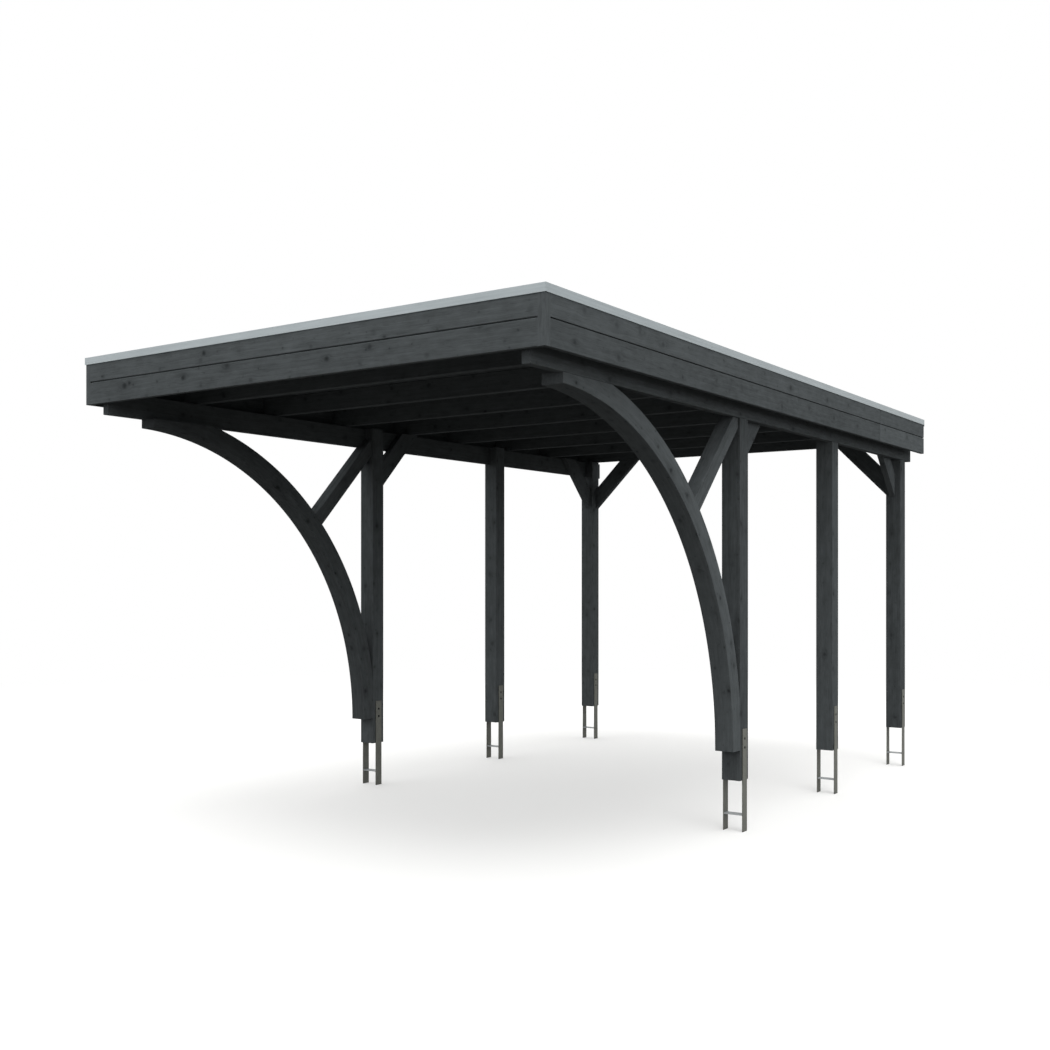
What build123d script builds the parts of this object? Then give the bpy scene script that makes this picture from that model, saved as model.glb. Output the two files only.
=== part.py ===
"""Single carport with a flat roof: six posts on steel anchors, two curved entrance arches."""
import math
import os

from build123d import *

# All lengths in millimetres. +X to the right along the front, +Y to the rear, +Z up from the ground.

# Roof outline, measured over the edge trim
overall_width = 3140.0
overall_length = 5550.0

# Post anchors: two flat strips and a cross bar of the same stock, welded to an H
strip_width = 60.0
strip_thickness = 5.0
anchor_below_post = 300.0
anchor_above_post = 300.0
cross_bar_below_post = 200.0

# Bolt holes through the strips and the post
bolt_hole_diameter = 14.0
bolt_hole_drop = 57.0
bolt_hole_pitch = 52.0
hole_overrun = 1.0

# Posts
post_size = 115.0
post_edge = 2.0
post_inset = 105.0
front_post_setback = 2237.0
rear_overhang = 145.0
shoulder_height = 2109.0

# Planed timber
timber_ease = 3.0

# Purlins, halved into the outer side of the posts
purlin_thickness = 44.0
purlin_height = 135.0
purlin_front_setback = 40.0
purlin_rear_setback = 4.0

# Curved entrance arches
arch_depth = 114.0
arch_foot_height = 179.0
arch_tip_thickness = 50.5
arch_tip_cut = 44.0
arch_planing = 21.0
arch_edge = 4.0

# Square struts between the front posts and the arches, plank braces at the posts, all on one slope
brace_slope = 45.0
strut_size = 90.0
strut_heel_drop = 62.0
strut_reach_share = 0.5
brace_thickness = 45.0
brace_depth = 127.0
brace_heel_drop = 291.0

# Rafters, laid across the purlins
rafter_thickness = 45.0
rafter_height = 120.0
rafter_count = 9

# Roof skin: matched boards with V joints below, a roofing sheet above
deck_thickness = 19.0
deck_board_count = 28
deck_joint_depth = 4.0
deck_joint_width = 8.0
membrane_thickness = 3.0
eaves_strip_thickness = 4.0
eaves_strip_drop = 25.0

# Fascia: two matched boards, tongue in groove, with an open joint at the front, butted to corner blocks
fascia_thickness = 26.0
fascia_drop = 75.0
lower_board_height = 123.0
board_ease = 2.0
joint_gap = 5.0
joint_ease = 3.0
tongue_setback = 9.0
tongue_thickness = 8.0
tongue_height = 12.0
tongue_clearance = 0.5
corner_block_size = 40.0
corner_ease = 3.0

# Aluminium edge trim, folded over the fascia
trim_thickness = 4.0
trim_height = 40.0
trim_cover = 60.0
trim_upstand = 48.0

# Places worked out from the sizes above
fascia_x = overall_width / 2 - trim_thickness
front_y = -overall_length / 2 + trim_thickness
rear_y = overall_length / 2
inner_x = fascia_x - fascia_thickness
inner_y = front_y + fascia_thickness

post_bottom = anchor_below_post
shoulder_z = post_bottom + shoulder_height
purlin_top = shoulder_z + purlin_height
rafter_top = purlin_top + rafter_height
deck_top = rafter_top + deck_thickness
membrane_top = deck_top + membrane_thickness
fascia_bottom = purlin_top - fascia_drop
lower_board_top = fascia_bottom + lower_board_height
upper_board_bottom = lower_board_top + joint_gap
tongue_top = lower_board_top + tongue_height
tongue_back = tongue_setback + tongue_thickness
fascia_top = membrane_top + trim_upstand
trim_top = fascia_top + trim_thickness

post_outer_x = fascia_x - post_inset
post_inner_x = post_outer_x - post_size
front_post_y = front_y + front_post_setback
rear_post_y = rear_y - rear_overhang - post_size
middle_post_y = (front_post_y + rear_post_y) / 2
post_places = {"front": front_post_y, "middle": middle_post_y, "rear": rear_post_y}
sides = {"left": -1, "right": 1}

arch_inner_radius = shoulder_height - arch_foot_height - arch_tip_thickness
arch_outer_radius = arch_inner_radius + arch_depth
arch_centre_y = front_post_y - arch_outer_radius + arch_planing
arch_centre_z = post_bottom + arch_foot_height

slope = math.tan(math.radians(brace_slope))
strut_plumb = strut_size / math.cos(math.radians(brace_slope))
brace_plumb = brace_depth / math.cos(math.radians(brace_slope))
brace_heel = shoulder_z - brace_heel_drop

first_rafter_y = inner_y
last_rafter_y = rear_post_y + post_size - rafter_thickness
rafter_pitch = (last_rafter_y - first_rafter_y) / (rafter_count - 1)


def block(x_from, x_to, y_from, y_to, z_from, z_to):
    """A box between two corners; the two X ends may come in either order."""
    corner = (min(x_from, x_to), y_from, z_from)
    low = (Align.MIN, Align.MIN, Align.MIN)
    return Pos(*corner) * Box(abs(x_to - x_from), y_to - y_from, z_to - z_from, align=low)


def side_plane(x, y, z, facing):
    """A sketch plane at x: its first axis runs along facing times Y, its second axis up."""
    return Plane(origin=(x, y, z), x_dir=(0, facing, 0), z_dir=(facing, 0, 0))


def outline(points):
    """A closed flat face through the points."""
    return make_face(Polyline(*points, close=True))


def purlin_bed(side):
    """The room that a purlin takes, flush with the outer face of the posts."""
    outer = side * post_outer_x
    inner = side * (post_outer_x - purlin_thickness)
    return block(outer, inner, front_y + purlin_front_setback, rear_y - purlin_rear_setback,
                 shoulder_z, purlin_top)


def purlin(side):
    """The beam along one side, with eased long edges."""
    body = purlin_bed(side)
    return chamfer(body.edges().filter_by(Axis.Y), length=timber_ease)


def bolt_holes(side, y):
    """Two level holes, one above the other, through both strips and the post."""
    middle_x = side * (post_outer_x + post_inner_x) / 2
    length = post_size + 2 * (strip_thickness + hole_overrun)
    upper = post_bottom + anchor_above_post - bolt_hole_drop
    hole = Rot(Y=90) * Cylinder(bolt_hole_diameter / 2, length)
    return [Pos(middle_x, y + post_size / 2, z) * hole for z in (upper, upper - bolt_hole_pitch)]


def post(side, y):
    """A square post with eased corners, shouldered to carry the purlin and drilled for bolts."""
    outer, inner = side * post_outer_x, side * post_inner_x
    body = block(outer, inner, y, y + post_size, post_bottom, purlin_top)
    body = chamfer(body.edges().filter_by(Axis.Z), length=post_edge)
    return body - purlin_bed(side) - bolt_holes(side, y)


def anchor(side, y):
    """Two drilled strips on the faces of the post, joined by a flat bar below it."""
    middle_y = y + post_size / 2
    strip_from, strip_to = middle_y - strip_width / 2, middle_y + strip_width / 2
    top = post_bottom + anchor_above_post
    bar_top = post_bottom - cross_bar_below_post
    outer, inner = side * post_outer_x, side * post_inner_x
    welded = (block(outer, outer + side * strip_thickness, strip_from, strip_to, 0, top)
              + block(inner, inner - side * strip_thickness, strip_from, strip_to, 0, top)
              + block(outer, inner, strip_from, strip_to, bar_top - strip_thickness, bar_top))
    return welded - bolt_holes(side, y)


def arch(side):
    """A quarter ring, cut flat under the purlin, plumb at its tip and planed to the post."""
    ring = Circle(arch_outer_radius) - Circle(arch_inner_radius)
    reach = front_post_y - arch_centre_y
    rise = shoulder_z - arch_centre_z
    kept = Pos(arch_tip_cut, 0) * Rectangle(reach - arch_tip_cut, rise, align=(Align.MIN, Align.MIN))
    start_x = min(side * post_outer_x, side * post_inner_x)
    body = extrude(side_plane(start_x, arch_centre_y, arch_centre_z, 1) * (ring & kept), amount=post_size)
    return chamfer(body.edges().filter_by(GeomType.CIRCLE), length=arch_edge)


def arch_bed():
    """The round volume whose skin is the back of both arches, where the struts seat."""
    turned = Pos(0, arch_centre_y, arch_centre_z) * Rot(Y=90)
    return turned * Cylinder(arch_outer_radius, overall_width)


def stay(side, inset, width, y, facing, points):
    """A stay along one side, drawn as a side outline, its outer face inset from those of the posts."""
    outer = side * (post_outer_x - inset)
    start = min(outer, outer - side * width)
    start = start if facing > 0 else start + width
    return eased(extrude(side_plane(start, y, 0, facing) * outline(points), amount=width))


def eased(body):
    """Ease the four long edges of a stay."""
    return chamfer(body.edges().sort_by(SortBy.LENGTH)[-4:], length=timber_ease)


def strut(side):
    """The stay from the front post down to the back of the arch."""
    heel = shoulder_z - strut_heel_drop
    reach = arch_inner_radius * strut_reach_share
    points = [(0, heel), (reach, heel - reach * slope),
              (reach, heel - reach * slope + strut_plumb), (0, heel + strut_plumb)]
    body = stay(side, (post_size - strut_size) / 2, strut_size, front_post_y, -1, points)
    return body - purlin_bed(side) - arch_bed()


def brace_outline():
    """The outline of a brace: plumb cut on the post, sloping up, level cut under the rafters."""
    rise = purlin_top - brace_heel
    return [(0, brace_heel), (rise / slope, purlin_top), ((rise - brace_plumb) / slope, purlin_top),
            (0, brace_heel + brace_plumb)]


def knee_brace(side, y, facing):
    """A plank from a post face at y along the side, lying on the inner face of the purlin."""
    return stay(side, purlin_thickness, brace_thickness, y, facing, brace_outline())


def rafter(y, end_x):
    """One rafter across both purlins, with eased long edges."""
    body = block(-end_x, end_x, y, y + rafter_thickness, purlin_top, rafter_top)
    return chamfer(body.edges().filter_by(Axis.X), length=timber_ease)


def cross_brace(side):
    """A plank from a rear post towards the middle, flush with the post's back, up to the last rafter."""
    front = rear_post_y + post_size - brace_thickness
    face = Plane(origin=(side * post_inner_x, front, 0), x_dir=(-side, 0, 0), z_dir=(0, side, 0))
    return eased(extrude(face * outline(brace_outline()), amount=side * brace_thickness))


def corner_block(side):
    """The upright that closes the fascia at a front corner."""
    outer = side * fascia_x
    body = block(outer, outer - side * corner_block_size, front_y, front_y + corner_block_size,
                 fascia_bottom, fascia_top)
    upright = body.edges().filter_by(Axis.Z).sort_by(Axis.Y)[:2].sort_by(Axis.X)
    return chamfer(upright[-1 if side > 0 else 0], length=corner_ease)


def lower_section():
    """The lower board's section, outer face at zero: a tongue, and a shoulder that closes the joint."""
    return [(board_ease, fascia_bottom), (fascia_thickness, fascia_bottom),
            (fascia_thickness, upper_board_bottom), (tongue_back, upper_board_bottom),
            (tongue_back, tongue_top), (tongue_setback, tongue_top), (tongue_setback, lower_board_top),
            (joint_ease, lower_board_top), (0, lower_board_top - joint_ease), (0, fascia_bottom + board_ease)]


def upper_section():
    """The upper board's section, outer face at zero: a groove that takes the tongue with room to spare."""
    front, back = tongue_setback - tongue_clearance, tongue_back + tongue_clearance
    roof = tongue_top + tongue_clearance
    return [(joint_ease, upper_board_bottom), (front, upper_board_bottom), (front, roof), (back, roof),
            (back, upper_board_bottom), (fascia_thickness, upper_board_bottom),
            (fascia_thickness, fascia_top), (board_ease, fascia_top), (0, fascia_top - board_ease),
            (0, upper_board_bottom + joint_ease)]


def side_board(side, section):
    """A fascia board along one side, from the corner block to the rear."""
    start = front_y + corner_block_size
    face = Plane(origin=(side * fascia_x, start, 0), x_dir=(-side, 0, 0), z_dir=(0, side, 0))
    return extrude(face * outline(section), amount=side * (rear_y - start))


def front_board(section):
    """A fascia board across the front, between the corner blocks."""
    half = fascia_x - corner_block_size
    face = side_plane(-half, front_y, 0, 1)
    return extrude(face * outline(section), amount=half + half)


def trim_section():
    """The folded edge: outer flange, cap and inner leg, measured inwards from the fascia."""
    flange_bottom = trim_top - trim_height
    leg = trim_cover - trim_thickness
    return [(-trim_thickness, flange_bottom), (0, flange_bottom), (0, fascia_top), (leg, fascia_top),
            (leg, membrane_top), (trim_cover, membrane_top), (trim_cover, trim_top),
            (-trim_thickness, trim_top)]


def mitre(body, side, keep):
    """Cut a length of trim at 45 degrees through a front corner."""
    corner = (side * fascia_x, front_y, 0)
    return split(body, bisect_by=Plane(origin=corner, z_dir=(side, 1, 0)), keep=keep)


def side_trim(side):
    """The trim along one side, mitred at the front."""
    start = front_y - trim_thickness
    face = Plane(origin=(side * fascia_x, start, 0), x_dir=(-side, 0, 0), z_dir=(0, side, 0))
    body = extrude(face * outline(trim_section()), amount=side * (rear_y - start))
    return mitre(body, side, Keep.TOP)


def front_trim():
    """The trim across the front, mitred at both ends."""
    half = fascia_x + trim_thickness
    body = extrude(side_plane(-half, front_y, 0, 1) * outline(trim_section()), amount=half + half)
    return mitre(mitre(body, 1, Keep.BOTTOM), -1, Keep.BOTTOM)


def deck():
    """Boards along the roof, side by side, with a V joint between each two from below."""
    pitch = 2 * inner_x / deck_board_count
    joints = [-inner_x + pitch * step for step in range(1, deck_board_count)]
    below = [(-inner_x, rafter_top)]
    for x in joints:
        below += [(x - deck_joint_width / 2, rafter_top), (x, rafter_top + deck_joint_depth),
                  (x + deck_joint_width / 2, rafter_top)]
    section = below + [(inner_x, rafter_top), (inner_x, deck_top), (-inner_x, deck_top)]
    rear = rear_y - eaves_strip_thickness
    face = Plane(origin=(0, rear, 0), x_dir=(1, 0, 0), z_dir=(0, -1, 0))
    body = extrude(face * outline(section), amount=rear - inner_y)
    return body - corner_block(-1) - corner_block(1)


def membrane():
    """The roofing sheet inside the fascia, cut round the corner blocks."""
    body = block(-inner_x, inner_x, inner_y, rear_y, deck_top, membrane_top)
    return body - corner_block(-1) - corner_block(1)


def build():
    """Every node of the carport, by name."""
    nodes = {}
    for name, side in sides.items():
        for place, y in post_places.items():
            nodes[f"post_{place}_{name}"] = post(side, y)
            nodes[f"anchor_{place}_{name}"] = anchor(side, y)
        nodes[f"purlin_{name}"] = purlin(side)
        nodes[f"arch_{name}"] = arch(side)
        nodes[f"arch_strut_{name}"] = strut(side)
        nodes[f"front_brace_{name}"] = knee_brace(side, front_post_y + post_size, 1)
        nodes[f"rear_brace_{name}"] = knee_brace(side, rear_post_y, -1)
        nodes[f"cross_brace_{name}"] = cross_brace(side)
        nodes[f"corner_block_{name}"] = corner_block(side)
        nodes[f"trim_{name}"] = side_trim(side)
    nodes["rafter_front"] = rafter(first_rafter_y, fascia_x - corner_block_size)
    nodes["rafters_inner"] = Compound([rafter(first_rafter_y + rafter_pitch * step, inner_x)
                                       for step in range(1, rafter_count - 1)])
    nodes["rafter_rear"] = rafter(last_rafter_y, inner_x)
    for row, section in {"lower": lower_section(), "upper": upper_section()}.items():
        nodes[f"fascia_front_{row}"] = front_board(section)
        for name, side in sides.items():
            nodes[f"fascia_{name}_{row}"] = side_board(side, section)
    nodes["trim_front"] = front_trim()
    nodes["roof_deck"] = deck()
    nodes["roof_membrane"] = membrane()
    nodes["eaves_strip"] = block(-inner_x, inner_x, rear_y - eaves_strip_thickness, rear_y,
                                 rafter_top - eaves_strip_drop, deck_top)
    return nodes


os.makedirs("parts", exist_ok=True)
for node, shape in build().items():
    export_step(shape, f"parts/{node}.step")
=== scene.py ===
"""New pieces, finishes, studio and camera for a slate grey timber carport with two entrance arches."""
import logging
import math
from collections.abc import Callable, Iterator
from contextlib import contextmanager
from dataclasses import dataclass
from enum import Enum
from typing import Any, NamedTuple

import bpy
from mathutils import Euler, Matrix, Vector


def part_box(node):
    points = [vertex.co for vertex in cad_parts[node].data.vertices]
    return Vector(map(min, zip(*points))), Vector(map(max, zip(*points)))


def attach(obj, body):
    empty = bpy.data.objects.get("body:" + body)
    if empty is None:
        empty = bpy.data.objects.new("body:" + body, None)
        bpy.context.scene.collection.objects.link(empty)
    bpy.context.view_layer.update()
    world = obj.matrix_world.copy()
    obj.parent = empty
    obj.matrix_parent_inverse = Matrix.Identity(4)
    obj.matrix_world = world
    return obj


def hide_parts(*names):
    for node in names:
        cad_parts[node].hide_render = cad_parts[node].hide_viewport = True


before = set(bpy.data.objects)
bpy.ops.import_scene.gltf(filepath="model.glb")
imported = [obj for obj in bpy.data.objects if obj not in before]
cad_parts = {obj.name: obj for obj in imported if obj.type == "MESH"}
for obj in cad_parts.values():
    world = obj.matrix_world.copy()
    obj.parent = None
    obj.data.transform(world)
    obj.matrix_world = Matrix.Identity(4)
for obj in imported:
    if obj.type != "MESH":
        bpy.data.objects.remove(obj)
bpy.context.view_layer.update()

LOG = logging.getLogger("carport")
BODY = "root"
SIDES = ("left", "right")
PLACES = ("front", "middle", "rear")
MM = 0.001
# A point nearer to a plane than this lies in it
TOUCH = 0.01 * MM
# A distance that counts as far, in metres, where the nearest of some places is looked for
FAR = 1.0
WHITE = (1, 1, 1, 1)
# How strong each finer layer of noise is beside the one before it
NOISE_ROUGHNESS = 0.55
# Multiples of this share, less whole numbers, spread evenly without repeating
GOLDEN_SHARE = 0.618
# How far the knots move for each metre from one face of a timber to the next, so that no two faces are alike
FACE_JUMP = (37, 23, 0)
# How far apart in the tree, in metres, two boards next to each other are cut
BOARD_JUMP = (3.17, 0.41, 0.73)

Material = bpy.types.Material
Node = bpy.types.Node
Piece = bpy.types.Object
Socket = bpy.types.NodeSocket
Tree = bpy.types.NodeTree
Triple = tuple[float, float, float]
# What is linked to an input: an output of a node, or a node for its first output
Source = Node | Socket


def linear(hex_colour: str) -> tuple[float, float, float, float]:
    """Turn an sRGB hex colour into a linear one.

    Args:
        hex_colour: The colour as "#rrggbb".

    Returns:
        Linear red, green and blue, and an alpha of one.
    """
    channels = [int(hex_colour[start:start + 2], 16) / 255 for start in (1, 3, 5)]
    red, green, blue = (c / 12.92 if c <= 0.04045 else ((c + 0.055) / 1.055) ** 2.4 for c in channels)
    return red, green, blue, 1.0


def add_node(tree: Tree, kind: str, inputs: dict[Any, Any] | None = None, **settings: Any) -> Node:
    """Add one shader node, set it and link it.

    Args:
        tree: The node tree that gets the node.
        kind: The node's type, without its ShaderNode prefix.
        inputs: For each input, by name or number, the value to set or the source to link.
        settings: The node's own settings.

    Returns:
        The new node.
    """
    node = tree.nodes.new("ShaderNode" + kind)
    for setting, value in settings.items():
        setattr(node, setting, value)
    for key, value in (inputs or {}).items():
        source = value.outputs[0] if isinstance(value, Node) else value
        if isinstance(source, Socket):
            tree.links.new(source, node.inputs[key])
        else:
            node.inputs[key].default_value = source
    return node


def new_material(name: str) -> tuple[Material, Tree]:
    """Make an empty node material.

    Args:
        name: The material's name.

    Returns:
        The material and its node tree.
    """
    material = bpy.data.materials.new(name)
    material.use_nodes = True
    material.node_tree.nodes.clear()
    return material, material.node_tree


def weigh(tree: Tree, middle: float, *parts: tuple[Source, float]) -> Source:
    """Add patterns together, each by its weight about its own middle of a half.

    Args:
        tree: The material's node tree.
        middle: The value where every pattern is at its middle.
        parts: The patterns and their weights.

    Returns:
        The sum.
    """
    total: Any = middle - sum(weight for _, weight in parts) / 2
    for pattern, weight in parts:
        total = add_node(tree, "Math", {0: pattern, 1: weight, 2: total}, operation="MULTIPLY_ADD")
    return total


def layered(tree: Tree, ground: str, *layers: tuple[Source, str]) -> Source:
    """Lay colours over each other.

    Args:
        tree: The material's node tree.
        ground: The colour at the bottom.
        layers: For each layer, how much of it shows, from 0 to 1, and its colour.

    Returns:
        The colour on top.
    """
    colour: Any = linear(ground)
    for amount, top in layers:
        # A mix node has sockets for every type of value in one row, and those for colours have these numbers
        mix = add_node(tree, "Mix", {"Factor": amount, 6: colour, 7: linear(top)}, data_type="RGBA")
        colour = mix.outputs[2]
    return colour


class Pattern(NamedTuple):
    """Soft noise: the size of its blotches along each axis, how many finer layers it has, and its weight."""

    size_mm: Triple
    detail: float
    weight: float

    def draw(self, tree: Tree, place: Source) -> Source:
        """Draw the noise at its real size.

        Args:
            tree: The material's node tree.
            place: The place on the piece in metres.

        Returns:
            The noise, about 0 to 1.
        """
        size = [length * MM for length in self.size_mm]
        scaled = add_node(tree, "VectorMath", {0: place, 1: size}, operation="DIVIDE")
        return add_node(tree, "TexNoise", {"Vector": scaled, "Scale": 1.0, "Detail": self.detail,
                                           "Roughness": NOISE_ROUGHNESS}).outputs["Fac"]


class KnotZone(NamedTuple):
    """A zone of a knot: how it is scaled along and across the fibres, and between which radii it fades."""

    scale: Triple
    fade_from: float
    fade_to: float

    def draw(self, tree: Tree, away: Source, radius: Source, strength: Source) -> Source:
        """Draw the zone round the middle of its knot.

        Args:
            tree: The material's node tree.
            away: The way from the middle of the nearest knot, in metres.
            radius: That knot's radius.
            strength: How dark that knot is.

        Returns:
            The zone, from 0 to 1.
        """
        drawn = add_node(tree, "VectorMath", {0: away, 1: self.scale}, operation="MULTIPLY")
        reach = add_node(tree, "VectorMath", {0: drawn}, operation="LENGTH").outputs["Value"]
        radii = add_node(tree, "Math", {0: reach, 1: radius}, operation="DIVIDE")
        soft = add_node(tree, "MapRange", {"Value": radii, "From Min": self.fade_from,
                                           "From Max": self.fade_to, "To Min": 1.0, "To Max": 0.0},
                        interpolation_type="SMOOTHSTEP")
        return add_node(tree, "Math", {0: soft, 1: strength}, operation="MULTIPLY")


HEART = KnotZone(scale=(0.9, 1, 0), fade_from=0.1, fade_to=1.15)
HALO = KnotZone(scale=(0.45, 0.75, 0), fade_from=0.2, fade_to=1.9)


@dataclass(frozen=True)
class Knots:
    """Knots of one kind: the room of each along and across the fibres, their largest radius and darkness."""

    room_mm: tuple[float, float]
    radius_mm: float
    heart_weight: float
    halo_weight: float
    smallest_share: float = 0.5
    faintest: float = 0.2

    def scatter(self, tree: Tree, flat: Source) -> tuple[Source, Source, Source]:
        """Scatter the knots over a face at their true size, each with its own size and strength.

        Args:
            tree: The material's node tree.
            flat: The place on the face, along and across the fibres.

        Returns:
            The knots' hearts and halos, from 0 to 1, and how far the fibres swerve round them.
        """
        room = [size * MM for size in self.room_mm] + [1.0]
        largest = self.radius_mm * MM
        scaled = add_node(tree, "VectorMath", {0: flat, 1: room}, operation="DIVIDE")
        cells = add_node(tree, "TexVoronoi", {"Vector": scaled, "Scale": 1.0}, voronoi_dimensions="2D")
        gap = add_node(tree, "VectorMath", {0: scaled, 1: cells.outputs["Position"]}, operation="SUBTRACT")
        away = add_node(tree, "VectorMath", {0: gap, 1: room}, operation="MULTIPLY")
        lot = add_node(tree, "SeparateColor", {"Color": cells.outputs["Color"]}).outputs
        radius = add_node(tree, "MapRange", {"Value": lot["Red"], "To Min": self.smallest_share * largest,
                                             "To Max": largest})
        strength = add_node(tree, "MapRange", {"Value": lot["Green"], "To Min": self.faintest,
                                               "To Max": 1.0})
        heart, halo = (zone.draw(tree, away, radius, strength) for zone in (HEART, HALO))
        side = add_node(tree, "SeparateXYZ", {0: away}).outputs["Y"]
        swerve = add_node(tree, "Math", {0: side, 1: halo}, operation="MULTIPLY")
        return heart, halo, swerve


class Grain(Enum):
    """Which way the fibres of a timber run, as the turn in degrees that lays them along X."""

    ACROSS = (0, 0, 0)
    LENGTHWISE = (0, 0, -90)
    UPRIGHT = (0, 90, 0)
    UP_TO_REAR = (-45, 0, -90)
    UP_TO_FRONT = (45, 0, -90)
    UP_TO_RIGHT = (0, 45, 0)
    UP_TO_LEFT = (0, -45, 0)

    @property
    def turn(self) -> Euler:
        """The turn that lays the fibres along X."""
        return Euler([math.radians(angle) for angle in self.value])


class Face(NamedTuple):
    """A point of a timber whose fibres run along X.

    It has its place in the solid, the direction across the fibres, its place on the face laid out flat, and
    how far that face is a sawn end.
    """

    place: Source
    across: Source
    flat: Source
    cut: Source


@dataclass(frozen=True)
class StainedTimber:
    """Planed softwood under slate grey stain: cloudy, faint grain, soft dark knots and hardly any gloss."""

    name: str
    grain: Grain = Grain.ACROSS
    seed: float = 0.0
    light: str = "#606567"
    dark: str = "#3a3d3e"
    knot: str = "#1f2122"
    tone: float = 0.5
    knottiness: float = 0.8
    branches: Knots = Knots(room_mm=(280, 120), radius_mm=23, heart_weight=0.55, halo_weight=0.25)
    pins: Knots = Knots(room_mm=(170, 80), radius_mm=9, heart_weight=0.45, halo_weight=0.1)
    ragged_mm: float = 22.0
    ragged_detail: float = 2.0
    stain: Pattern = Pattern(size_mm=(420, 170, 170), detail=2.0, weight=0.28)
    cloud: Pattern = Pattern(size_mm=(75, 42, 42), detail=3.0, weight=0.5)
    streak: Pattern = Pattern(size_mm=(240, 17, 17), detail=3.0, weight=0.45)
    fibre: Pattern = Pattern(size_mm=(120, 2.4, 2.4), detail=2.0, weight=0.6)
    fleck: Pattern = Pattern(size_mm=(55, 4.5, 4.5), detail=1.0, weight=0.22)
    fleck_range: tuple[float, float] = (0.62, 0.74)
    ring_mm: float = 26.0
    ring_weight: float = 0.1
    ring_pace: Triple = (0.06, 1, 1)
    ring_wander: float = 6.0
    ring_detail: float = 2.0
    ring_detail_scale: float = 0.3
    end_range: tuple[float, float] = (0.8, 0.95)
    end_weight: float = 0.3
    relief_mm: float = 0.5
    relief_strength: float = 0.5
    ring_relief: float = 0.5
    fibre_relief: float = 0.5
    knot_relief: float = -0.6
    roughness: float = 0.85
    fibre_roughness: float = 0.12
    specular: float = 0.005

    def grain_space(self, tree: Tree) -> tuple[Source, Source]:
        """Lay the fibres along X.

        Args:
            tree: The material's node tree.

        Returns:
            The place in the timber in metres, and the direction that its face looks in.
        """
        spot = add_node(tree, "TexCoord").outputs["Object"]
        looks = add_node(tree, "NewGeometry").outputs["True Normal"]
        turn = self.grain.turn
        place = add_node(tree, "Mapping", {"Vector": spot, "Rotation": turn, "Location": [self.seed] * 3})
        normal = add_node(tree, "Mapping", {"Vector": looks, "Rotation": turn}, vector_type="VECTOR")
        return place, normal

    def face(self, tree: Tree) -> Face:
        """Lay each face of the timber out flat, far from the others, with ragged outlines for its knots.

        Args:
            tree: The material's node tree.

        Returns:
            The place in the solid and on the face.
        """
        place, normal = self.grain_space(tree)
        # The flats that make up a curve all count as the one square face that they lie nearest to
        nearest = add_node(tree, "VectorMath", {0: normal, 1: (0.5, 0.5, 0.5)})
        square = add_node(tree, "VectorMath", {0: nearest}, operation="FLOOR")
        across = add_node(tree, "VectorMath", {0: (1, 0, 0), 1: square}, operation="CROSS_PRODUCT")
        side = add_node(tree, "VectorMath", {0: place, 1: across}, operation="DOT_PRODUCT").outputs["Value"]
        depth = add_node(tree, "VectorMath", {0: place, 1: square}, operation="DOT_PRODUCT").outputs["Value"]
        along = add_node(tree, "SeparateXYZ", {0: place}).outputs["X"]
        even = add_node(tree, "CombineXYZ", {0: along, 1: side})
        apart = add_node(tree, "VectorMath", {0: FACE_JUMP, "Scale": depth}, operation="SCALE")
        shifted = add_node(tree, "VectorMath", {0: even, 1: apart})
        wobble = self.ragged_mm * MM
        ragged = add_node(tree, "TexNoise", {"Vector": place, "Scale": 1 / wobble,
                                             "Detail": self.ragged_detail})
        reach = (wobble / 2, wobble / 2, 0)
        flat = add_node(tree, "VectorMath", {0: ragged.outputs["Color"], 1: reach, 2: shifted},
                        operation="MULTIPLY_ADD")
        endways = add_node(tree, "SeparateXYZ", {0: normal}).outputs["X"]
        end = add_node(tree, "Math", {0: endways}, operation="ABSOLUTE")
        flush, square_on = self.end_range
        cut = add_node(tree, "MapRange", {"Value": end, "From Min": flush, "From Max": square_on})
        return Face(place, across, flat, cut)

    def rings(self, tree: Tree, place: Source) -> Source:
        """Draw growth rings about a pith, wandering slowly along the fibres.

        Args:
            tree: The material's node tree.
            place: The place in the timber.

        Returns:
            The rings, from 0 to 1.
        """
        slow = add_node(tree, "VectorMath", {0: place, 1: self.ring_pace}, operation="MULTIPLY")
        # The wave node turns once every 2 pi of 20 times the distance from the axis
        scale = 2 * math.pi / (20 * self.ring_mm * MM)
        return add_node(tree, "TexWave", {"Vector": slow, "Scale": scale, "Distortion": self.ring_wander,
                                          "Detail": self.ring_detail,
                                          "Detail Scale": self.ring_detail_scale},
                        wave_type="RINGS", rings_direction="X", wave_profile="SAW").outputs["Fac"]

    def varied(self, tree: Tree, tone: Source) -> Source:
        """Vary the tone from board to board; solid timber is one board."""
        return tone

    def seams(self, tree: Tree, place: Source) -> list[Source]:
        """Say where joints within the piece darken it; solid timber has none."""
        return []

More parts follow.
